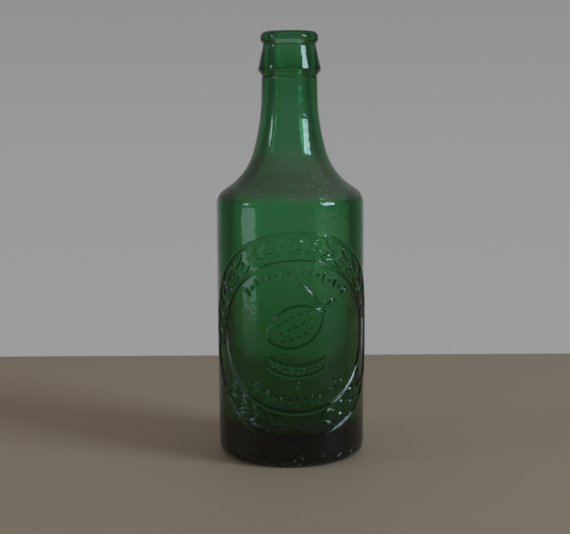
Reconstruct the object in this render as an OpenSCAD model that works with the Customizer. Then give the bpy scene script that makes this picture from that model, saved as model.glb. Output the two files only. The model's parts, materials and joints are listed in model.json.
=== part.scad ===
// Returnable soda bottle with a crown-cork finish, blown and moulded in one piece of glass.
// Millimetres, +Z up, origin at the centre of the ring that the bottle stands on, medallion facing -Y.
// The raised marks are nodes of their own, each rooted a little way into the wall of the bottle.

/* [Bottle] */
// Outer radius of the barrel
body_r = 34.2; // [33.4:0.2:35]
// Height from the standing ring to the top of the lip
bottle_h = 196.8; // [195:0.2:200]
// Thickness of the barrel's wall
wall = 6.4; // [5.4:0.2:7]
// Thickness of the neck's wall
neck_wall = 4.4; // [4.2:0.1:4.5]
// Radius of the rounded heel
heel_r = 5; // [4:0.5:6]
// Rise of the hollow under the base
punt_h = 3.5; // [2:0.5:5]
// Thickness of the glass at the middle of the base
base_t = 8; // [5:0.5:9]

/* [Shoulder and neck] */
// Height at which the barrel starts to round into the shoulder
shoulder_z = 117.8; // [116:0.2:119]
// Radius of the round between the barrel and the shoulder
shoulder_r = 8; // [7:0.5:9]
// Slope of the shoulder above the horizontal, in degrees
shoulder_slope = 34.5; // [33:0.5:36]
// Radius of the hollow curve from the shoulder to the neck
sweep_r = 29; // [28:0.5:30]
// Radius of the long curve at the foot of the neck
neck_sweep_r = 98; // [94:1:102]

/* [Finish] */
// Radius of the neck just under the collar
neck_r = 12.65; // [12.5:0.05:12.8]
// Radius of the collar at its widest
collar_r = 14.5; // [14.2:0.1:14.8]
// Radius of the waist between the collar and the lip
waist_r = 12.1; // [11.8:0.1:12.1]
// Radius of the lip that a crown cork grips
lip_r = 13.4; // [13.2:0.05:13.45]
// Radius of the bore through the mouth
bore_r = 7.9; // [7.6:0.1:8]

/* [Medallion] */
// Height of the middle of the medallion
medallion_z = 60.3; // [59:0.1:61.5]
// Half width of the outer ring, measured along the glass
outer_w = 48.5; // [47.5:0.1:49]
// Half height of the outer ring
outer_h = 46.7; // [46:0.1:47.5]
// Half width of the inner ring, measured along the glass
inner_w = 38.1; // [37.5:0.1:38.5]
// Half height of the inner ring
inner_h = 34.3; // [34:0.1:35]
// Width of the ring lines
ring_w = 1.4; // [1:0.1:2]
// Height of the raised marks above the glass
relief_h = 0.6; // [0.4:0.1:0.8]

/* [Hidden] */
$fn = 96;

glass_colour = [0.10, 0.36, 0.19];
relief_colour = [0.18, 0.52, 0.30];

stand_r = 25.5;                // inner edge of the flat ring that the bottle stands on
inner_corner_r = 8;            // round between the inside floor and the inside wall
inner_shoulder_r = 4;          // round between the inside wall and the inside of the shoulder
shoulder_run = 3;              // straight stretch of the shoulder's slope
sweep_end = 73.5;              // steepness at which the hollow curve meets the neck's long curve
neck_end = 88.5;               // steepness at which the long curve ends
collar_foot = 20.1;            // lower edge of the collar, below the top of the lip
collar_widest = 17.3;          // widest point of the collar, below the top of the lip
collar_round = 1.5;            // radius of the collar's round edge
waist_drop = 6;                // waist, below the top of the lip
lip_land = 0.5;                // upright stretch on the outside of the lip
lip_round = 2.9;               // radius of the round from the lip's side to its top
lip_under = 2.2;               // radius of the round from the lip's side to the waist
lip_flat = 0.2;                // width of the flat ring on top of the lip
throat_h = 24;                 // length of the straight bore, from the top of the lip
throat_blend = 8;              // height over which the bore opens into the neck

inner_r = body_r - wall;
floor_z = punt_h + base_t;
mouth_round = lip_r - lip_round - lip_flat - bore_r;
root = 0.35;                   // how far a raised mark reaches into the wall
tip = 0.15;                    // half width of a leaf at its ends
seam_w = 0.6;                  // width of the line left where the mould's halves met
seam_h = 0.15;                 // height of that line

outer = [outer_w, outer_h];
inner = [inner_w, inner_h];
band = (outer + inner) / 2;
leaf_l = 8;                    // length of a leaf of the bands
leaf_w = 3.4;                  // width of a leaf of the bands
leaf_spread = 40;              // angle between a leaf and the band's own line
berry_w = 1.7;                 // width of the berry between two leaves
buds = inner - [5.5, 5.5];     // half width and half height of the ovals that the buds stand on
bud_l = 5;                     // length of a bud
bud_w = 1.8;                   // width of a bud

fruit_c = [-0.5, 4.5];         // middle of the fruit
fruit_size = [12.4, 9];        // half length and half height of the fruit
fruit_tilt = 24;
line_w = 1.1;                  // width of the fruit's outline and of the garland's lines

// ---- Outlines, as [radius, height] points ----

function polar(r, a) = r * [cos(a), sin(a)];

// Points on an arc about c, from angle a0 to a1, in n steps; skip leaves out the first ones.
function arc(c, r, a0, a1, n, skip = 0) = [for (i = [skip:n]) c + polar(r, a0 + (a1 - a0) * i / n)];

function backwards(list) = [for (i = [len(list) - 1:-1:0]) list[i]];

// Centres of the outline's curves: each starts where the last one ends, in the same direction.
shoulder_c = [body_r - shoulder_r, shoulder_z];
slope_end = shoulder_c + polar(shoulder_r, 90 - shoulder_slope)
            + polar(shoulder_run, 180 - shoulder_slope);
sweep_c = slope_end + polar(sweep_r, 90 - shoulder_slope);
sweep_stop = sweep_c - polar(sweep_r, 90 - sweep_end);
neck_c = sweep_stop + polar(neck_sweep_r, 90 - sweep_end);

// The outline from the top of the barrel to the foot of the collar, moved outwards by d.
function side(d) = concat(
    arc(shoulder_c, shoulder_r + d, 0, 90 - shoulder_slope, 10),
    arc(sweep_c, sweep_r - d, 270 - shoulder_slope, 270 - sweep_end, 10),
    arc(neck_c, neck_sweep_r - d, 270 - sweep_end, 270 - neck_end, 8, 1),
    [[neck_r + d, bottle_h - collar_foot]]);

// The underside, from the axis out to the barrel.
punt_r = (stand_r * stand_r + punt_h * punt_h) / (2 * punt_h);
underside = concat(
    arc([0, punt_h - punt_r], punt_r, 90, 90 - asin(stand_r / punt_r), 10),
    arc([body_r - heel_r, heel_r], heel_r, -90, 0, 8));

// The finish: collar, waist and lip, in to the flat top of the lip.
finish = concat(
    arc([collar_r - collar_round, bottle_h - collar_widest], collar_round, -50, 12, 6),
    [[waist_r, bottle_h - waist_drop]],
    arc([lip_r - lip_under, bottle_h - lip_round - lip_land], lip_under, -58, 0, 6),
    arc([lip_r - lip_round, bottle_h - lip_round], lip_round, 0, 90, 8));

// The inside of the shoulder: a round that is tangent to the barrel's inside and to the inside of
// the slope, which lies neck_wall under the outer one.
slope_across = polar(1, 90 - shoulder_slope);
inner_shoulder_drop = shoulder_r - neck_wall - inner_shoulder_r
                      - (inner_r - inner_shoulder_r - shoulder_c[0]) * slope_across[0];
inner_shoulder_c = [inner_r - inner_shoulder_r, shoulder_z + inner_shoulder_drop / slope_across[1]];
inner_shoulder = arc(inner_shoulder_c, inner_shoulder_r, 0, 90 - shoulder_slope, 8);

// The inside, from the mouth down to the axis.
throat_end = bottle_h - throat_h;
above_shoulder = [for (p = side(-neck_wall))
    if (p[1] > inner_shoulder[8][1] + 0.1 && p[1] < throat_end - throat_blend) p];
inside = concat(
    arc([bore_r + mouth_round, bottle_h - mouth_round], mouth_round, 90, 180, 6),
    [[bore_r, throat_end]],
    backwards(concat(inner_shoulder, above_shoulder)),
    arc([inner_r - inner_corner_r, floor_z + inner_corner_r], inner_corner_r, 0, -90, 8),
    [[0, floor_z]]);

// ---- Raised marks on the barrel ----

// A point of the medallion's flat drawing, p[0] round the glass and p[1] up, laid on the barrel
// at height h above the glass.
function on_glass(p, h) =
    let (a = p[0] / body_r * 180 / PI)
    [(body_r + h) * sin(a), -(body_r + h) * cos(a), medallion_z + p[1]];

// Unit vector across a path at its point i.
function across(path, i, closed) =
    let (n = len(path),
         before = path[closed ? (i + n - 1) % n : max(i - 1, 0)],
         after = path[closed ? (i + 1) % n : min(i + 1, n - 1)],
         along = (after - before) / norm(after - before))
    [-along[1], along[0]];

// The section of a raised line, as shares of its half width and of its height.
section = [[-1, 0], [-0.5, 1], [0.5, 1], [1, 0]];

// A raised line along a path of flat points, with a half width for each point.
module raised(path, half, closed = false) {
    n = len(path);
    m = len(section) + 2;
    points = [for (i = [0:n - 1]) let (q = across(path, i, closed) * half[i]) each concat(
        [for (k = section) on_glass(path[i] + q * k[0], k[1] * relief_h)],
        [on_glass(path[i] + q, -root), on_glass(path[i] - q, -root)])];
    walls = [for (i = [0:closed ? n - 1 : n - 2], k = [0:m - 1])
        let (a = i * m + k, b = i * m + (k + 1) % m,
             c = (i + 1) % n * m + (k + 1) % m, d = (i + 1) % n * m + k)
        each [[a, b, c], [a, c, d]]];
    last = (n - 1) * m;
    ends = closed ? [] : [for (k = [1:m - 2]) each [[0, k + 1, k], [last, last + k, last + k + 1]]];
    polyhedron(points = points, faces = concat(walls, ends), convexity = 6);
}

// A raised line of one width.
module line(path, width, closed = false) {
    raised(path, [for (p = path) width / 2], closed);
}

// A point of an oval about the medallion's middle, from the oval's half sizes; a is the angle before
// the circle is stretched to the oval.
function on_oval(half, a) = [half[0] * cos(a), half[1] * sin(a)];

// The direction in which an oval runs there, anticlockwise.
function oval_way(half, a) = atan2(half[1] * cos(a), -half[0] * sin(a));

// A ring round the middle of the medallion.
module ring(half, n) {
    line([for (i = [0:n - 1]) on_oval(half, 360 * i / n)], ring_w, true);
}

// Points of a bent line: it sets off from foot at angle a, and turns by turn degrees on its way.
function bent(foot, a, length, turn, n) =
    [for (i = [0:n]) let (half = turn * i / n / 2)
        foot + polar(2 * length / (turn * PI / 180) * sin(half), a + half)];

// A raised leaf along a bent line, widest in its middle.
module leaf(foot, a, length, width, turn, n = 6) {
    raised(bent(foot, a, length, turn, n),
           [for (i = [0:n]) max(tip, width / 2 * pow(sin(180 * i / n), 0.8))]);
}

// A raised bead, as a short leaf along the direction a.
module bead(c, length, width, a = 0) {
    leaf(c - polar(length / 2, a), a, length, width, 1, 4);
}

// A spray of leaf pairs with berries, round the medallion from angle a0 to a1; sense is 1 where the
// leaves point anticlockwise and -1 where they point clockwise.
module spray(a0, a1, n, sense) {
    for (i = [0:n - 1]) {
        a = a0 + (a1 - a0) * i / (n - 1);
        way = oval_way(band, a);
        ahead = sense > 0 ? way : way + 180;
        for (out = [-1, 1]) {
            leaf(on_oval(band, a) + polar(out * 0.7, way - 90), ahead - sense * out * leaf_spread,
                 leaf_l, leaf_w, sense * out * leaf_spread);
        }
        bead(on_oval(band, a + sense * 6.2), 2, berry_w, ahead);
    }
}

// Buds standing side by side on an arc, each pointing at the middle of the medallion.
module bud_arc(a0, a1, n) {
    for (i = [0:n - 1]) {
        a = a0 + (a1 - a0) * i / (n - 1);
        bead(on_oval(buds, a), i % 2 == 0 ? bud_l : bud_w, bud_w, oval_way(buds, a) - 90);
    }
}

// A point of the fruit's own drawing, turned to its tilt and put in its place.
function on_fruit(x, y) = fruit_c + x * [cos(fruit_tilt), sin(fruit_tilt)]
                          + y * [-sin(fruit_tilt), cos(fruit_tilt)];

// ---- Sub-parts ----

module glass_bottle() {
    color(glass_colour) rotate_extrude() polygon(concat(underside, side(0), finish, inside));
}

module medallion_outer_ring() {
    color(relief_colour) ring(outer, 120);
}

module medallion_inner_ring() {
    color(relief_colour) ring(inner, 96);
}

module upper_leaf_band() {
    color(relief_colour) {
        spray(190, 111, 8, -1);
        spray(7, 86, 8, 1);
        bead(on_oval(band, 98.5), 3, 3, 98.5);
    }
}

module lower_leaf_band() {
    color(relief_colour) {
        spray(262, 226, 4, -1);
        spray(285, 321, 4, 1);
        bead(on_oval(band, 273.5), 3, 3, 273.5);
    }
}

module upper_bud_arc() {
    color(relief_colour) bud_arc(136, 44, 17);
}

module lower_bud_arc() {
    color(relief_colour) bud_arc(222, 318, 17);
}

// The outline of a fruit with a small point at each end.
module fruit_outline() {
    steps = 36;
    path = [for (i = [0:steps - 1]) let (a = 360 * i / steps, point = 1 + 0.13 * pow(cos(a), 12))
        on_fruit(fruit_size[0] * cos(a) * point, fruit_size[1] * sin(a))];
    color(relief_colour) line(path, line_w, true);
}

// Rows of short strokes that follow the fruit's round side.
module fruit_pores() {
    color(relief_colour) for (row = [-1, 0, 1], i = [-2:2]) {
        bead(on_fruit(i * 3.7 + row * 0.6, row * 4.6 * (1 - 0.05 * i * i)), 1.7, 1.1, fruit_tilt);
    }
}

module fruit_leaves() {
    stalk = on_fruit(fruit_size[0] * 1.13 + 1, 0);
    color(relief_colour) {
        line(bent(stalk, 70, 5, 60, 5), line_w);
        leaf(stalk + [-2.6, 3.2], 152, 14, 5, -42, 8);
        leaf(stalk + [0.9, 3.4], 30, 6, 3, -50);
    }
}

// Two hanging lines, one under the other.
module garland_lines() {
    color(relief_colour) for (drop = [0, 4.6]) {
        line(bent([-12.5, -9.5 - drop], -32, 27, 64, 14), line_w);
    }
}

// Beads between the two lines and a drop under the middle.
module garland_beads() {
    color(relief_colour) {
        for (i = [-4:4]) {
            bead([i * 2.7, -15.4 + 0.2 * i * i], 2.2, 1.6, 90);
        }
        bead([0, -21.4], 3.4, 2, 90);
    }
}

// A fine upright line along the barrel, the shoulder and the neck, where the mould's halves met.
module mould_seam() {
    foot = [[body_r + seam_h, heel_r + 1]];
    inner_foot = [[body_r - root, heel_r + 1]];
    color(relief_colour) rotate([90, 0, 0]) linear_extrude(seam_w, center = true)
        polygon(concat(foot, side(seam_h), backwards(side(-root)), inner_foot));
}

module mould_seam_left() {
    mirror([1, 0, 0]) mould_seam();
}

module mould_seam_right() {
    mould_seam();
}

// A fine line round the top of the neck, where the finish's own mould closed on the body's.
module finish_seam() {
    z = bottle_h - collar_foot - seam_w;
    color(relief_colour) rotate_extrude()
        polygon([[neck_r - root, z - seam_w], [neck_r + seam_h, z - seam_w],
                 [neck_r + seam_h, z], [neck_r - root, z]]);
}

glass_bottle();
medallion_outer_ring();
medallion_inner_ring();
upper_leaf_band();
lower_leaf_band();
upper_bud_arc();
lower_bud_arc();
fruit_outline();
fruit_pores();
fruit_leaves();
garland_lines();
garland_beads();
mould_seam_left();
mould_seam_right();
finish_seam();
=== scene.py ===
"""The looks of a glass soda bottle: one wall of green glass with a raised medallion.

Shapes are worked out in millimetres and become metres as their mesh is made. The bottle is a body
of revolution about Z. Angles round it are in degrees from -Y, where the medallion faces, and grow
towards +X.
"""
import json
import math

import bpy
import numpy as np
from mathutils import Euler, Matrix, Vector


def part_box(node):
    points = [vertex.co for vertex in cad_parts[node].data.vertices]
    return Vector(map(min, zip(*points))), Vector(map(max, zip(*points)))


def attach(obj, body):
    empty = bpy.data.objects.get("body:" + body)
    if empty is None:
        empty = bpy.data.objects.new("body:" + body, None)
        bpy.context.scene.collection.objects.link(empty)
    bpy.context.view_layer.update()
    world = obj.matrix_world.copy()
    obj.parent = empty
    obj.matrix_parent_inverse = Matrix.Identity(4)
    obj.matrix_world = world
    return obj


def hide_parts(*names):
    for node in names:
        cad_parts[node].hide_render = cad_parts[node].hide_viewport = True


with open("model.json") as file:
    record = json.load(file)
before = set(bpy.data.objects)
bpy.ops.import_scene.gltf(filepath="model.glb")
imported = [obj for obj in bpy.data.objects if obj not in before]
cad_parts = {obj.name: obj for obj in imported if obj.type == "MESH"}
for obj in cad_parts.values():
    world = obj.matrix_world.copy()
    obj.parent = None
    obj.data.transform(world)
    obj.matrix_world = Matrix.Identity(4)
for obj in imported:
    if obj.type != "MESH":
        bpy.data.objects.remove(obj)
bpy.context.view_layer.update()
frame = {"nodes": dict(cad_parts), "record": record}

record = frame["record"]
MM = 0.001


# ---- Sizes, from the frame where it holds them ----

bottle_low, bottle_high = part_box("glass_bottle")
outer_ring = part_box("medallion_outer_ring")
inner_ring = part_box("medallion_inner_ring")
mouth = next(m for m in record["mounts"] if m["name"] == "mouth_bore")
lip = next(m for m in record["mounts"] if m["name"] == "crown_lip")

BODY_R = bottle_high.x / MM
BOTTLE_H = bottle_high.z / MM
BORE_R = mouth["dims"]["r_mm"]
LIP_R = lip["dims"]["r_mm"]
LIP_LAND = lip["dims"]["length_mm"]
RING_W = 1.4              # width of an oval line
MEDALLION_Z = (outer_ring[0].z + outer_ring[1].z) / 2 / MM
OUTER_H = (outer_ring[1].z - outer_ring[0].z) / 2 / MM - RING_W / 2
INNER_H = (inner_ring[1].z - inner_ring[0].z) / 2 / MM - RING_W / 2
OUTER_W = 48.5            # half width of the outer oval, measured round the glass
INNER_W = 38.1            # half width of the inner oval, measured round the glass
RELIEF_H = 0.6            # height of the raised marks above the glass

WALL = 6.4                # thickness of the barrel's wall
NECK_WALL = 4.4           # thickness of the neck's wall
HEEL_R = 5.0              # radius of the rounded heel
PUNT_H = 3.5              # rise of the hollow under the base
STAND_R = 25.5            # inner edge of the flat ring that the bottle stands on
FLOOR_Z = 11.5            # height of the inside floor
INNER_CORNER_R = 8.0      # round between the inside floor and the inside wall
SHOULDER_Z = 117.8        # height at which the barrel starts to round into the shoulder
SHOULDER_R = 8.0          # radius of that round
SHOULDER_SLOPE = 34.5     # slope of the shoulder above the horizontal, in degrees
SHOULDER_RUN = 3.0        # straight stretch of that slope
INNER_SHOULDER_R = 4.0    # round between the inside wall and the inside of the slope
SWEEP_R = 29.0            # radius of the hollow curve from the shoulder to the neck
SWEEP_END = 73.5          # steepness at which it meets the neck's long curve, in degrees
NECK_SWEEP_R = 98.0       # radius of the long curve at the foot of the neck
NECK_END = 88.5           # steepness at which that curve ends, in degrees
NECK_R = 12.65            # radius of the neck just under the collar
COLLAR_R = 14.5           # radius of the collar at its widest
COLLAR_FOOT = 20.1        # lower edge of the collar, below the top of the lip
COLLAR_WIDEST = 17.3      # widest point of the collar, below the top of the lip
COLLAR_ROUND = 1.5        # radius of the collar's round edge
WAIST_R = 12.1            # radius of the waist between the collar and the lip
WAIST_DROP = 6.0          # waist, below the top of the lip
LIP_ROUND = 2.9           # radius of the round from the lip's side to its top
LIP_UNDER = 2.2           # radius of the round from the lip's side to the waist
LIP_FLAT = 0.2            # width of the flat ring on top of the lip
MOUTH_ROUND = LIP_R - LIP_ROUND - LIP_FLAT - BORE_R
THROAT_H = mouth["dims"]["length_mm"] + MOUTH_ROUND
THROAT_BLEND = 8.0        # height over which the bore opens into the neck
SEAM_H = 0.15             # height of a mould seam's ridge


# ---- The bottle's outline, as rows of radius and height ----

def polar(radius, angle):
    """The point at a radius and an angle in degrees: radius times cosine, radius times sine."""
    angle = np.radians(angle)
    return np.stack([radius * np.cos(angle), radius * np.sin(angle)], axis=-1)


def arc(centre, radius, start, end, steps):
    """Points on a circle about centre, at equal steps of angle from start to end."""
    return np.asarray(centre) + polar(radius, np.linspace(start, end, steps + 1))


def straight(start, end, steps):
    """Points between two points at equal steps, without the two ends."""
    share = np.linspace(0, 1, steps + 1)[1:-1, None]
    return np.asarray(start) * (1 - share) + np.asarray(end) * share


SHOULDER = np.array([BODY_R - SHOULDER_R, SHOULDER_Z])


def side(out):
    """The outline from the top of the barrel to the foot of the collar, moved outwards.

    A round, a short slope, a hollow curve and a long hollow curve, each tangent to the last. Moving
    the line outwards adds to the round's radius and takes from the hollow curves' radii.
    """
    run = polar(SHOULDER_RUN, 180 - SHOULDER_SLOPE)
    sweep = SHOULDER + polar(SHOULDER_R + SWEEP_R, 90 - SHOULDER_SLOPE) + run
    neck = sweep + polar(NECK_SWEEP_R - SWEEP_R, 90 - SWEEP_END)
    rounded = arc(SHOULDER, SHOULDER_R + out, 0, 90 - SHOULDER_SLOPE, 12)
    hollow = arc(sweep, SWEEP_R - out, 270 - SHOULDER_SLOPE, 270 - SWEEP_END, 16)
    long_hollow = arc(neck, NECK_SWEEP_R - out, 270 - SWEEP_END, 270 - NECK_END, 14)[1:]
    top = np.array([[NECK_R + out, BOTTLE_H - COLLAR_FOOT]])
    return np.concatenate([rounded, hollow, long_hollow, straight(long_hollow[-1], top[0], 6), top])


def underside():
    """The base from the axis to the barrel: a shallow dome, a flat ring and a rounded heel."""
    dome_r = (STAND_R ** 2 + PUNT_H ** 2) / (2 * PUNT_H)
    edge = math.degrees(math.asin(STAND_R / dome_r))
    dome = arc([0, PUNT_H - dome_r], dome_r, 90, 90 - edge, 14)
    heel = arc([BODY_R - HEEL_R, HEEL_R], HEEL_R, -90, 0, 12)
    return np.concatenate([dome, heel])


def finish_outline():
    """The finish from the collar to the bore: collar, cone, waist, full round lip and inner edge."""
    collar = arc([COLLAR_R - COLLAR_ROUND, BOTTLE_H - COLLAR_WIDEST], COLLAR_ROUND, -50, 12, 8)
    waist = np.array([WAIST_R, BOTTLE_H - WAIST_DROP])
    under = arc([LIP_R - LIP_UNDER, BOTTLE_H - LIP_ROUND - LIP_LAND], LIP_UNDER, -58, 0, 7)
    top = arc([LIP_R - LIP_ROUND, BOTTLE_H - LIP_ROUND], LIP_ROUND, 0, 90, 11)
    edge = arc([BORE_R + MOUTH_ROUND, BOTTLE_H - MOUTH_ROUND], MOUTH_ROUND, 90, 180, 10)
    return np.concatenate([collar, straight(collar[-1], waist, 8), [waist], under, top, edge])


def inner_shoulder():
    """The round between the barrel's inside and the inside of the slope, tangent to both."""
    across = polar(1.0, 90 - SHOULDER_SLOPE)
    middle_r = BODY_R - WALL - INNER_SHOULDER_R
    drop = SHOULDER_R - NECK_WALL - INNER_SHOULDER_R - (middle_r - SHOULDER[0]) * across[0]
    return arc([middle_r, SHOULDER_Z + drop / across[1]], INNER_SHOULDER_R, 0, 90 - SHOULDER_SLOPE, 8)


def inside():
    """The inside from the mouth's edge to the axis: bore, neck, shoulder, wall, corner and floor."""
    throat_end = BOTTLE_H - THROAT_H
    inner_r = BODY_R - WALL
    shoulder = inner_shoulder()
    neck = side(-NECK_WALL)
    neck = neck[(neck[:, 1] > shoulder[-1, 1] + 0.1) & (neck[:, 1] < throat_end - THROAT_BLEND)]
    wall = np.concatenate([shoulder, neck])[::-1]
    throat = np.array([[BORE_R, throat_end]])
    bore = straight([BORE_R, BOTTLE_H - MOUTH_ROUND], throat[0], 6)
    corner = arc([inner_r - INNER_CORNER_R, FLOOR_Z + INNER_CORNER_R], INNER_CORNER_R, 0, -90, 10)
    return np.concatenate([bore, throat, straight(throat[0], wall[0], 4), wall,
                           straight(wall[-1], corner[0], 30), corner,
                           straight(corner[-1], [0, FLOOR_Z], 8), [[0, FLOOR_Z]]])


# ---- The medallion, drawn flat: s runs round the glass and t runs up, from its middle ----

def rise(depth, soft):
    """A soft step: 0 where depth is below 0, 1 where it is over soft, a smooth cubic between."""
    share = np.clip(depth / soft, 0, 1)
    return share * share * (3 - 2 * share)


class Relief:
    """The raised marks as one height for each point of a grid, the highest mark winning."""

    spill = 0.18       # how far outside a mark's outline its sloping edge starts
    slope = 0.504      # width of that sloping edge
    tip = 0.15         # half width of a leaf at its ends
    vein_reach = 0.45  # distance from a leaf's midline at which its vein has mostly faded

    def __init__(self, s, t):
        self.s, self.t = s, t
        self.height = np.zeros_like(s)

    def step(self, inside_by):
        """A mark's height, from 0 to 1, by how far inside its outline a point lies."""
        return rise(inside_by + self.spill, self.slope)

    def add(self, height):
        """Raises every point to a mark's height, where it isn't higher already."""
        self.height = np.maximum(self.height, height)

    def ring(self, half):
        """An oval line: its distance is how far |(s, t) / half| is from 1, over that length's slope."""
        level = np.hypot(self.s / half[0], self.t / half[1])
        slope = np.hypot(self.s / half[0] ** 2, self.t / half[1] ** 2) / np.maximum(level, 0.1)
        self.add(self.step(RING_W / 2 - np.abs(level - 1) / np.maximum(slope, 0.001)))

    def line(self, path, width, closed=False):
        """A line through a path's points, from each point's distance to the nearest segment."""
        ends = np.roll(path, -1, axis=0) if closed else path[1:]
        nearest = np.full_like(self.s, np.inf)
        for (s0, t0), (s1, t1) in zip(path, ends):
            length2 = (s1 - s0) ** 2 + (t1 - t0) ** 2
            share = np.clip(((self.s - s0) * (s1 - s0) + (self.t - t0) * (t1 - t0)) / length2, 0, 1)
            off = np.hypot(self.s - s0 - share * (s1 - s0), self.t - t0 - share * (t1 - t0))
            nearest = np.minimum(nearest, off)
        self.add(self.step(width / 2 - nearest))

    def leaf(self, foot, angle, length, width, turn, vein=0.0):
        """A leaf from its foot along a bent midline that turns by turn degrees.

        Along the chord the midline bows aside by a parabola, and the half width is half the leaf's
        width times the sine of the share of the length, to the power 0.8. A vein is a groove that
        lowers the middle of the leaf by that share.
        """
        along = polar(1.0, angle + turn / 2)
        ds, dt = self.s - foot[0], self.t - foot[1]
        share = (ds * along[0] + dt * along[1]) / length
        bow = math.radians(turn) / 2 * length * share * (1 - share)
        aside = dt * along[0] - ds * along[1] + bow
        on = (share > 0) & (share < 1)
        half = width / 2 * np.sin(np.pi * np.clip(share, 0, 1)) ** 0.8
        inside_by = np.where(on, np.maximum(half, self.tip) - np.abs(aside), -1.0)
        groove = np.exp(-(aside / self.vein_reach) ** 2) * rise(share, 0.3) * rise(1 - share, 0.3)
        self.add(self.step(inside_by) * (1 - vein * groove))

    def bead(self, centre, length, width, angle=0.0):
        """A pointed bead: a short straight leaf about its centre."""
        self.leaf(np.asarray(centre) - polar(length / 2, angle), angle, length, width, 0.0)


OUTER = np.array([OUTER_W, OUTER_H])
INNER = np.array([INNER_W, INNER_H])
BAND = (OUTER + INNER) / 2     # the oval that the leaves stand on
BUDS = INNER - 5.5             # the oval that the buds stand on
LEAF_L, LEAF_W = 8.0, 3.4
LEAF_SPREAD = 40               # angle between a leaf and the band's own line
LEAF_APART = 0.7               # from the band's line to the foot of each leaf of a pair
BERRY_L, BERRY_W = 2.0, 1.7
BERRY_AHEAD = 6.2              # angle on the oval from a pair of leaves to its berry
BUD_L, BUD_W = 5.0, 1.8        # the dots between the buds are as long as they are wide
FRUIT_C = np.array([-0.5, 4.5])
FRUIT_HALF = (12.4, 9.0)       # half length and half height of the fruit
FRUIT_POINT = 0.13             # share of the half length that a pointed end adds
FRUIT_TILT = 24.0
LINE_W = 1.1                   # width of the fruit's outline and of the garland's lines


def bent(foot, angle, length, turn, steps):
    """Points along a circular bend: chords of the arc that sets off at angle and turns by turn."""
    half = np.linspace(0, turn, steps + 1) / 2
    chords = 2 * length / math.radians(turn) * np.sin(np.radians(half))
    return np.asarray(foot) + polar(chords, angle + half)


def on_oval(half, angle):
    """A point of an oval from its half sizes: cosine and sine of the angle, each stretched."""
    return half * polar(1.0, angle)


def oval_way(half, angle):
    """The direction in which an oval runs there, anticlockwise, in degrees."""
    along = half * polar(1.0, angle + 90)
    return math.degrees(math.atan2(along[1], along[0]))


def spray(relief, start, end, count, sense):
    """Leaf pairs with berries along the band, pointing anticlockwise for sense 1, else clockwise."""
    for angle in np.linspace(start, end, count):
        way = oval_way(BAND, angle)
        ahead = way if sense > 0 else way + 180
        for out in (-1, 1):
            foot = on_oval(BAND, angle) + polar(out * LEAF_APART, way - 90)
            relief.leaf(foot, ahead - sense * out * LEAF_SPREAD, LEAF_L, LEAF_W,
                        sense * out * LEAF_SPREAD, vein=0.5)
        relief.bead(on_oval(BAND, angle + sense * BERRY_AHEAD), BERRY_L, BERRY_W, ahead)


def bud_arc(relief, start, end, count):
    """Buds and dots in turn, side by side on an arc, each lying across the arc's own line."""
    for i, angle in enumerate(np.linspace(start, end, count)):
        length = BUD_W if i % 2 else BUD_L
        relief.bead(on_oval(BUDS, angle), length, BUD_W, oval_way(BUDS, angle) - 90)


def on_fruit(x, y):
    """A point of the fruit's own drawing, turned to the fruit's tilt and put in its place."""
    return FRUIT_C + x * polar(1.0, FRUIT_TILT) + y * polar(1.0, FRUIT_TILT + 90)


def fruit(relief):
    """A lemon: an ellipse drawn out to a small point at each end, its pores, stalk and leaves."""
    angles = np.linspace(0, 360, 72, endpoint=False)
    points = [on_fruit(FRUIT_HALF[0] * math.cos(a) * (1 + FRUIT_POINT * math.cos(a) ** 12),
                       FRUIT_HALF[1] * math.sin(a)) for a in np.radians(angles)]
    relief.line(np.array(points), LINE_W, closed=True)
    along, across, lean, droop = 3.7, 4.6, 0.6, 0.05
    for row in (-1, 0, 1):
        for i in range(-2, 3):
            place = on_fruit(i * along + row * lean, row * across * (1 - droop * i * i))
            relief.bead(place, 1.7, 1.1, FRUIT_TILT)
    stalk = on_fruit(FRUIT_HALF[0] * (1 + FRUIT_POINT) + 1, 0)
    relief.line(bent(stalk, angle=70, length=5, turn=60, steps=8), LINE_W)
    relief.leaf(stalk + [-2.6, 3.2], angle=152, length=14, width=5, turn=-42, vein=0.5)
    relief.leaf(stalk + [0.9, 3.4], angle=30, length=6, width=3, turn=-50, vein=0.4)


def garland(relief):
    """Two hanging lines with a row of beads between them and a drop under the middle."""
    start, apart, bead_step = np.array([-12.5, -9.5]), 4.6, 2.7
    for drop in (0, apart):
        relief.line(bent(start - [0, drop], angle=-32, length=27, turn=64, steps=20), LINE_W)
    for i in range(-4, 5):
        relief.bead([i * bead_step, -15.4 + 0.2 * i * i], length=2.2, width=1.6, angle=90)
    relief.bead([0, -21.4], length=3.4, width=2, angle=90)


def medallion(s, t):
    """The height of every raised mark of the medallion over a flat grid."""
    relief = Relief(s, t)
    relief.ring(OUTER)
    relief.ring(INNER)
    spray(relief, start=190, end=111, count=8, sense=-1)
    spray(relief, start=7, end=86, count=8, sense=1)
    spray(relief, start=262, end=226, count=4, sense=-1)
    spray(relief, start=285, end=321, count=4, sense=1)
    for angle in (98.5, 273.5):
        relief.bead(on_oval(BAND, angle), length=3, width=3, angle=angle)
    bud_arc(relief, start=136, end=44, count=17)
    bud_arc(relief, start=222, end=318, count=17)
    fruit(relief)
    garland(relief)
    return relief.height * RELIEF_H


# ---- The glass, one closed skin: outside, over the lip, and down the inside ----

FRONT = 85.5           # the medallion's columns reach this far to each side
CELL = 3.0             # angle between plain columns
SPLIT = 4              # fine columns to a plain one, over the medallion
FINE_STEP = 0.44       # height between the medallion's rows
MARGIN = 1.6           # height of the fine rows past the outer ring
SEAM_HALF = 0.8        # angle from a seam to the foot of its ridge
WAVES = 7              # products of two sines that make up the glass's unevenness
BUBBLES = 46           # in the thickness of the wall


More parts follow.
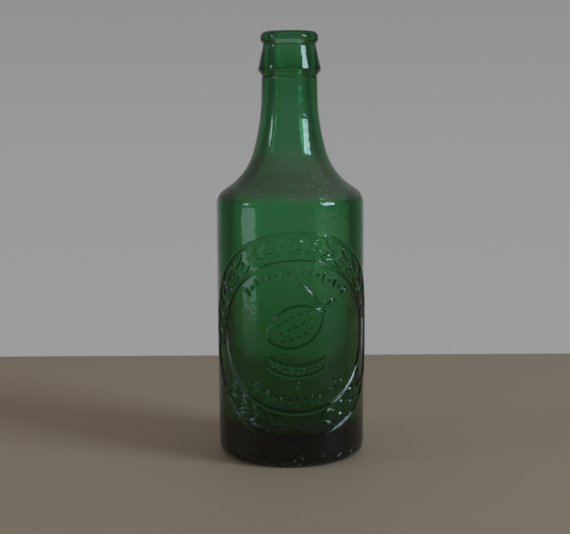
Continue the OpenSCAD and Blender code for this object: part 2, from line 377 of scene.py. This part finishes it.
def plain_columns():
    """Angles of the columns: even steps, with three close ones at each side for the mould seam."""
    even = np.arange(-FRONT, 360 - FRONT - CELL / 2, CELL)
    seams = [seam + step for seam in (90, 270) for step in (-SEAM_HALF, 0, SEAM_HALF)]
    return np.sort(np.concatenate([even, seams]))


def fine_columns(plain):
    """The plain columns, with those over the medallion split into finer ones."""
    front = np.arange(-FRONT, FRONT + CELL / SPLIT / 2, CELL / SPLIT)
    return np.concatenate([front, plain[plain > FRONT + CELL / 2 / SPLIT]])


def waves(angle, height, size, seed):
    """Slow unevenness of blown glass, in millimetres.

    The mean of WAVES products of a sine round the bottle and a sine along it, times 1.6 size.
    """
    draw = np.random.default_rng(seed)
    total = np.zeros(np.broadcast(angle, height).shape)
    for _ in range(WAVES):
        turns, rate = draw.integers(1, 7), draw.uniform(0.02, 0.11)
        phase, shift = draw.uniform(0, 2 * np.pi, 2)
        total += np.sin(turns * np.radians(angle) + phase) * np.sin(rate * height + shift)
    return total * size / WAVES * 1.6


def skin(rows, angles, inner):
    """Points of the rows at the angles, in metres, with the glass's unevenness and its seams.

    Inside, waves move the wall in and out and the floor up and down. Outside, slighter ones sink
    the glass, so that it stays within its size, and the two seams stand out from it. The waves fade
    at the axis and at the lip, and outside at the standing ring too.
    """
    radius, height = rows[:, :1], rows[:, 1:]
    angle = angles[None, :]
    if inner:
        swell = waves(angle, height, size=0.55, seed=3)
        swell = swell * rise(radius, 25) * rise(BOTTLE_H - 30 - height, 30)
        lift = waves(angle, radius * 3, size=0.9, seed=5) * rise(30 - height, 18) * rise(radius, 12)
    else:
        depth = 0.05
        swell = waves(angle, height, size=depth, seed=4) - depth
        swell = swell * rise(height - 1, 10) * rise(BOTTLE_H - 25 - height, 10) * rise(radius, 12)
        at_seam = np.isin(angle, (90.0, 270.0))
        on_side = (height > HEEL_R + 1) & (height < BOTTLE_H - COLLAR_FOOT) & (radius > NECK_R - 1)
        swell = swell + SEAM_H * at_seam * on_side
        lift = 0.0
    radius, height = radius + swell, height + lift
    turn = np.radians(angle)
    x, y = radius * np.sin(turn), -radius * np.cos(turn)
    return np.stack(np.broadcast_arrays(x, y, height), axis=-1) * MM


def quads(first_row, second_row):
    """Four-sided faces between two closed rows of point numbers, or between many such rows."""
    return np.stack([first_row, np.roll(first_row, -1, axis=-1),
                     np.roll(second_row, -1, axis=-1), second_row], axis=-1).reshape(-1, 4)


def seeds(count):
    """Small bubbles in the wall: closed hollows, drawn out upwards, whose skin faces into them.

    Each is a sphere of points scaled to its half width and half height, at a random place in the
    thickness of the wall.
    """
    draw = np.random.default_rng(11)
    rings, around = 6, 8
    polar_angle = np.linspace(0, np.pi, rings + 1)[1:-1, None]
    turn = np.arange(around)[None, :] * 2 * np.pi / around
    ball = np.stack(np.broadcast_arrays(np.sin(polar_angle) * np.cos(turn),
                                        np.sin(polar_angle) * np.sin(turn),
                                        np.cos(polar_angle)), axis=-1).reshape(-1, 3)
    ball = np.concatenate([ball, [[0, 0, 1], [0, 0, -1]]])
    grid = np.arange((rings - 1) * around).reshape(rings - 1, around)
    sides = quads(grid[:-1], grid[1:])
    top, bottom = len(ball) - 2, len(ball) - 1
    caps = [[top, *pair] for pair in zip(np.roll(grid[0], -1), grid[0])]
    caps += [[bottom, *pair] for pair in zip(grid[-1], np.roll(grid[-1], -1))]
    points, faces = [], []
    for _ in range(count):
        half = draw.uniform(0.14, 0.42)
        angle, height = draw.uniform(0, 2 * np.pi), draw.uniform(9, 112)
        radius = BODY_R - draw.uniform(1.2, WALL - 1.4)
        stretch = draw.uniform(1.0, 2.4)
        centre = [radius * np.sin(angle), -radius * np.cos(angle), height]
        base = len(points) * len(ball)
        points.append((ball * [half, half, half * stretch] + centre) * MM)
        faces += (sides[:, ::-1] + base).tolist() + [[n + base for n in cap[::-1]] for cap in caps]
    return np.concatenate(points), faces


def joining_faces(plain_row, fine_row, upward):
    """Faces between a plain row and a fine one: a face for each plain cell, with every fine corner."""
    cells = int(round(2 * FRONT / CELL))
    faces = []
    for k in range(len(plain_row)):
        ends = [plain_row[k], plain_row[(k + 1) % len(plain_row)]]
        start = k * SPLIT if k < cells else cells * SPLIT + k - cells
        steps = SPLIT if k < cells else 1
        face = ends + [fine_row[(start + i) % len(fine_row)] for i in range(steps, -1, -1)]
        faces.append(face if upward else face[::-1])
    return faces


def fan(pole, first, second):
    """Triangles from a pole to the corners of a closed row, each given by its two other corners."""
    return np.stack([np.full_like(first, pole), first, second], axis=-1).tolist()


def bottle_mesh():
    """The whole glass: plain rows, the medallion's fine rows, plain rows again, poles and seeds."""
    plain = plain_columns()
    fine = fine_columns(plain)
    low = MEDALLION_Z - OUTER_H - RING_W / 2 - MARGIN
    high = MEDALLION_Z + OUTER_H + RING_W / 2 + MARGIN

    base = underside()
    fine_z = np.linspace(low, high, int(round((high - low) / FINE_STEP)) + 1)
    fine_rows = np.stack([np.full_like(fine_z, BODY_R), fine_z], axis=-1)
    under = np.concatenate([base[1:], straight(base[-1], fine_rows[0], 4)])
    over = np.concatenate([straight(fine_rows[-1], side(0)[0], 4), side(0), finish_outline()])
    within = inside()[:-1]

    s = np.where(fine > 180, fine - 360, fine)[None, :] / 180 * np.pi * BODY_R
    relief = medallion(*np.broadcast_arrays(s, (fine_z - MEDALLION_Z)[:, None]))
    medallion_points = skin(fine_rows, fine, inner=False)
    out = np.stack([np.sin(np.radians(fine)), -np.cos(np.radians(fine)), 0 * fine], axis=-1)
    medallion_points = medallion_points + relief[..., None] * out[None] * MM

    blocks = [skin(under, plain, inner=False), medallion_points, skin(over, plain, inner=False),
              skin(within, plain, inner=True)]
    numbers, count = [], 0
    for block in blocks:
        size = block.shape[0] * block.shape[1]
        numbers.append(np.arange(count, count + size).reshape(block.shape[:2]))
        count += size
    under_n, fine_n, over_n, within_n = numbers
    over_n = np.concatenate([over_n, within_n])
    poles = np.array([[0, 0, PUNT_H], [0, 0, FLOOR_Z]]) * MM

    faces = []
    for block in (under_n, fine_n, over_n):
        faces += quads(block[:-1], block[1:]).tolist()
    faces += joining_faces(under_n[-1], fine_n[0], upward=True)
    faces += joining_faces(over_n[0], fine_n[-1], upward=False)
    bottom, floor = under_n[0], over_n[-1]
    faces += fan(count, np.roll(bottom, -1), bottom)
    faces += fan(count + 1, floor, np.roll(floor, -1))

    seed_points, seed_faces = seeds(BUBBLES)
    points = np.concatenate([*(block.reshape(-1, 3) for block in blocks), poles, seed_points])
    faces += [[n + count + len(poles) for n in face] for face in seed_faces]
    return points, faces


def make_mesh(name, points, faces, smooth=True):
    """A new object at the origin, with its place in its mesh."""
    mesh = bpy.data.meshes.new(name)
    mesh.from_pydata(points.tolist(), [], faces)
    mesh.polygons.foreach_set("use_smooth", np.full(len(mesh.polygons), smooth))
    mesh.update()
    piece = bpy.data.objects.new(name, mesh)
    bpy.context.scene.collection.objects.link(piece)
    return piece


# ---- Materials ----

class Value:
    """A number or a vector in a material: arithmetic on numbers adds the Math nodes it needs."""

    def __init__(self, paint, socket):
        self.paint, self.socket = paint, socket

    def math(self, operation, *terms):
        return self.paint.node("ShaderNodeMath", {"operation": operation}, dict(enumerate(terms)))

    def __add__(self, other):
        return self.math("ADD", self, other)

    def __mul__(self, other):
        return self.math("MULTIPLY", self, other)

    __radd__, __rmul__ = __add__, __mul__

    def ramp(self, start, end):
        """0 up to start and 1 from end on, a smooth cubic between; end may lie below start."""
        limits = {1: start, 2: end, 3: 0.0, 4: 1.0}
        if start > end:
            limits = {1: end, 2: start, 3: 1.0, 4: 0.0}
        return self.paint.node("ShaderNodeMapRange", {"interpolation_type": "SMOOTHSTEP"},
                               {0: self, **limits})


class Paint:
    """A material or a world under construction."""

    def __init__(self, owner):
        owner.use_nodes = True
        self.owner, self.tree = owner, owner.node_tree
        self.tree.nodes.clear()

    def node(self, kind, settings=None, inputs=None, output=0):
        """Adds a node: its settings first, then the values or links of its sockets."""
        made = self.tree.nodes.new(kind)
        for name, value in (settings or {}).items():
            setattr(made, name, value)
        for socket, value in (inputs or {}).items():
            if isinstance(value, Value):
                self.tree.links.new(value.socket, made.inputs[socket])
            else:
                made.inputs[socket].default_value = value
        return Value(self, made.outputs[output]) if made.outputs else None

    def noise(self, place, scale, detail=2.0, rough=0.5):
        """Cloudy noise about 0.5, with scale the number of its cells to a metre."""
        return self.node("ShaderNodeTexNoise", None,
                         {"Vector": place, "Scale": scale, "Detail": detail, "Roughness": rough})

    def mix(self, share, first, second):
        """The first colour where share is 0, the second where it is 1."""
        return self.node("ShaderNodeMix", {"data_type": "RGBA"},
                         {0: share, 6: first, 7: second}, output=2)

    def output(self, surface, volume=None):
        """Closes the material with its surface and, for glass, what fills it."""
        links = {"Surface": surface}
        if volume:
            links["Volume"] = volume
        self.node("ShaderNodeOutputMaterial", None, links)
        return self.owner


def rgb(red, green, blue):
    """A colour as the sockets take it, opaque."""
    return (red, green, blue, 1.0)


CLEAR_TINT = rgb(0.98, 0.985, 0.98)     # at the top of the barrel
HEEL_PAINTED_SHADE = rgb(0.46, 0.62, 0.50)       # painted shade: the darkest colour, in the lowest part of the barrel
NECK_TINT = rgb(0.70, 0.81, 0.73)
DUST_BROWN = rgb(0.225, 0.200, 0.165)
PALE_FLECK = rgb(0.58, 0.53, 0.45)
THICK_GLASS = rgb(0.09, 0.67, 0.31)     # absorbed per metre: 1 minus this colour, times the density
GLASS_DENSITY = 240.0


def bottle_glass():
    """Deep green glass with a dusty shoulder and a worn heel, mixed from clean glass and dust.

    The glass darkens with its thickness. By height, its colour also deepens down the barrel, a painted
    shade that darkens it towards the heel, and its tint deepens again up the neck. Fine ripples bend
    its surface, and smears and grime roughen it. The dust lies where the surface faces up, from the
    edge of the shoulder to the foot of the neck, in clouds and grains. Pale flecks of wear lie in the
    lowest few millimetres.
    """
    paint = Paint(bpy.data.materials.new("green_bottle_glass"))
    place = paint.node("ShaderNodeTexCoord", output="Object")
    height = paint.node("ShaderNodeSeparateXYZ", None, {"Vector": place}, output="Z")
    normal = paint.node("ShaderNodeNewGeometry", output="Normal")
    facing_up = paint.node("ShaderNodeSeparateXYZ", None, {"Vector": normal}, output="Z")

    smears = paint.noise(place, 60.0, 3.0).ramp(0.45, 0.75)
    grime = paint.noise(place, 650.0, 3.0, 0.7).ramp(0.42, 0.68)
    ripples = paint.noise(place, 150.0, 3.0) * 0.7 + paint.noise(place, 420.0, 2.0) * 0.3
    bump = paint.node("ShaderNodeBump", None,
                      {"Strength": 0.32, "Distance": 0.0006, "Height": ripples})
    # Painted shade: the barrel's colour darkens from the top of the barrel down to the heel.
    barrel_tint_and_painted_shade = paint.mix(height.ramp(0.118, 0.030), CLEAR_TINT, HEEL_PAINTED_SHADE)
    glass = paint.node("ShaderNodeBsdfPrincipled", None, {
        "Base Color": paint.mix(height.ramp(0.125, 0.155), barrel_tint_and_painted_shade, NECK_TINT),
        "Roughness": smears * 0.06 + grime * 0.09 + 0.02, "IOR": 1.52,
        "Transmission Weight": 1.0, "Normal": bump})

    grains = paint.noise(place, 1300.0, 2.0, 0.7).ramp(0.38, 0.70)
    clouds = paint.noise(place, 55.0, 3.0).ramp(0.28, 0.72)
    settled = facing_up.ramp(0.04, 0.50) * height.ramp(0.1195, 0.1240) * height.ramp(0.160, 0.127)
    veil = settled * (clouds * 0.32 + 0.46) * (grains * 0.40 + 0.60)
    flecks = paint.noise(place, 900.0, 1.0).ramp(0.66, 0.72)
    worn = height.ramp(0.0075, 0.0045) * paint.noise(place, 480.0, 2.0).ramp(0.62, 0.69)
    dust = paint.node("ShaderNodeBsdfPrincipled", None, {
        "Base Color": paint.mix(flecks + worn, DUST_BROWN, PALE_FLECK),
        "Roughness": 0.95, "Specular IOR Level": 0.1})
    surface = paint.node("ShaderNodeMixShader", None, {0: veil + worn * 0.5, 1: glass, 2: dust})

    depth = paint.node("ShaderNodeVolumeAbsorption", None,
                       {"Color": THICK_GLASS, "Density": GLASS_DENSITY})
    return paint.output(surface, depth)


def plain_finish(name, colour, roughness):
    """A matt finish for the stage, with a slightly uneven roughness."""
    paint = Paint(bpy.data.materials.new(name))
    place = paint.node("ShaderNodeTexCoord", output="Object")
    mottle = paint.noise(place, 4.0, 2.0)
    surface = paint.node("ShaderNodeBsdfPrincipled", None, {
        "Base Color": rgb(*colour), "Roughness": mottle * 0.1 + roughness})
    return paint.output(surface)


# ---- The bottle ----

bottle = make_mesh("bottle_glass", *bottle_mesh())
bottle.data.materials.append(bottle_glass())
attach(bottle, "root")
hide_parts(*sorted(frame["nodes"]))


# ---- Stage, lights and camera ----

CAMERA_TURN = 4.6          # the medallion looks this far to the right of the camera
CAMERA_BACK = 0.5859
CAMERA_HIGH = 0.1650
CAMERA_DOWN = 7.50
CAMERA_PAN = 0.259         # the bottle stands this far right of the view's middle
CAMERA_ROLL = 0.36
LENS = 79.5
SENSOR = 36.0
AIM = Vector((0, 0, 0.1))  # about the middle of the bottle, where the lights point
TABLE_BACK = 0.225         # from the bottle's axis to the table's back edge
PALE_WALL = (0.335, 0.335, 0.338)
UPPER_WALL = (0.285, 0.293, 0.290)
DIM_ROOM = (0.135, 0.137, 0.143)


def around(turn, distance, height):
    """A place round the bottle: turn is measured from the camera's side, towards its right."""
    angle = math.radians(turn - CAMERA_TURN)
    return Vector((distance * math.sin(angle), -distance * math.cos(angle), height))


def make_table():
    """A plain pale slab, square to the line from the camera to the bottle."""
    back, front, half, thick = TABLE_BACK, -1.6, 1.3, 0.03
    x = np.array([-half, half, half, -half] * 2)
    y = np.array([front, front, back, back] * 2)
    z = np.array([-thick] * 4 + [0.0] * 4)
    turn = math.radians(-CAMERA_TURN)
    across = x * math.cos(turn) - y * math.sin(turn)
    along = x * math.sin(turn) + y * math.cos(turn)
    points = np.stack([across, along, z], axis=-1)
    faces = [[0, 3, 2, 1], [4, 5, 6, 7], [0, 1, 5, 4], [1, 2, 6, 5], [2, 3, 7, 6], [3, 0, 4, 7]]
    table = make_mesh("floor", points, faces, smooth=False)
    table.data.materials.append(plain_finish("pale_table", (0.76, 0.55, 0.39), 0.62))


def soft_light(name, turn, distance, height, size, radiance, colour):
    """A softbox that faces the bottle: its power is its radiance times its area times pi."""
    data = bpy.data.lights.new(name, "AREA")
    data.shape = "RECTANGLE"
    data.size, data.size_y = size
    data.energy = radiance * size[0] * size[1] * math.pi
    data.color = colour
    light = bpy.data.objects.new(name, data)
    bpy.context.scene.collection.objects.link(light)
    light.visible_camera = False
    place = around(turn, distance, height)
    light.matrix_world = Matrix.LocRotScale(place, (AIM - place).to_track_quat("-Z", "Y"), None)


def make_world():
    """A pale wall behind the bottle that fades softly into a dimmer room to the sides and in front.

    How far a direction points at the wall is its dot product with the way from camera to bottle. The
    wall is a little darker higher up.
    """
    world = bpy.data.worlds.new("room")
    bpy.context.scene.world = world
    paint = Paint(world)
    towards = paint.node("ShaderNodeTexCoord", output="Generated")
    back = tuple(-around(0, 1.0, 0.0))
    at_wall = paint.node("ShaderNodeVectorMath", {"operation": "DOT_PRODUCT"},
                         {0: towards, 1: back}, output="Value")
    up = paint.node("ShaderNodeSeparateXYZ", None, {"Vector": towards}, output="Z")
    wall = paint.mix(up.ramp(-0.14, 0.12), rgb(*PALE_WALL), rgb(*UPPER_WALL))
    room = paint.mix(at_wall.ramp(0.72, 0.95), rgb(*DIM_ROOM), wall)
    light = paint.node("ShaderNodeBackground", None, {"Color": room})
    paint.node("ShaderNodeOutputWorld", None, {"Surface": light})


def make_camera():
    """A long lens close to the bottle, below its collar, looking a little down."""
    data = bpy.data.cameras.new("camera")
    data.lens, data.sensor_width = LENS, SENSOR
    data.clip_start, data.clip_end = 0.05, 20.0
    camera = bpy.data.objects.new("camera", data)
    bpy.context.scene.collection.objects.link(camera)
    yaw, pitch = math.radians(CAMERA_PAN - CAMERA_TURN), math.radians(90 - CAMERA_DOWN)
    turn = Euler((pitch, 0, yaw)).to_matrix()
    roll = Matrix.Rotation(math.radians(-CAMERA_ROLL), 3, "Z")
    camera.matrix_world = Matrix.LocRotScale(around(0, CAMERA_BACK, CAMERA_HIGH), turn @ roll, None)
    bpy.context.scene.camera = camera


make_table()
make_world()
soft_light("right_window", turn=62, distance=1.5, height=0.67,
           size=(0.58, 0.44), radiance=11.0, colour=(0.66, 0.87, 1.0))
soft_light("left_window", turn=-75, distance=1.5, height=0.56,
           size=(0.24, 0.27), radiance=5.5, colour=(0.74, 0.91, 1.0))
soft_light("left_card", turn=-66, distance=0.45, height=0.060,
           size=(0.20, 0.11), radiance=1.6, colour=(0.76, 0.90, 1.0))
make_camera()
bpy.context.scene.view_settings.view_transform = "Standard"
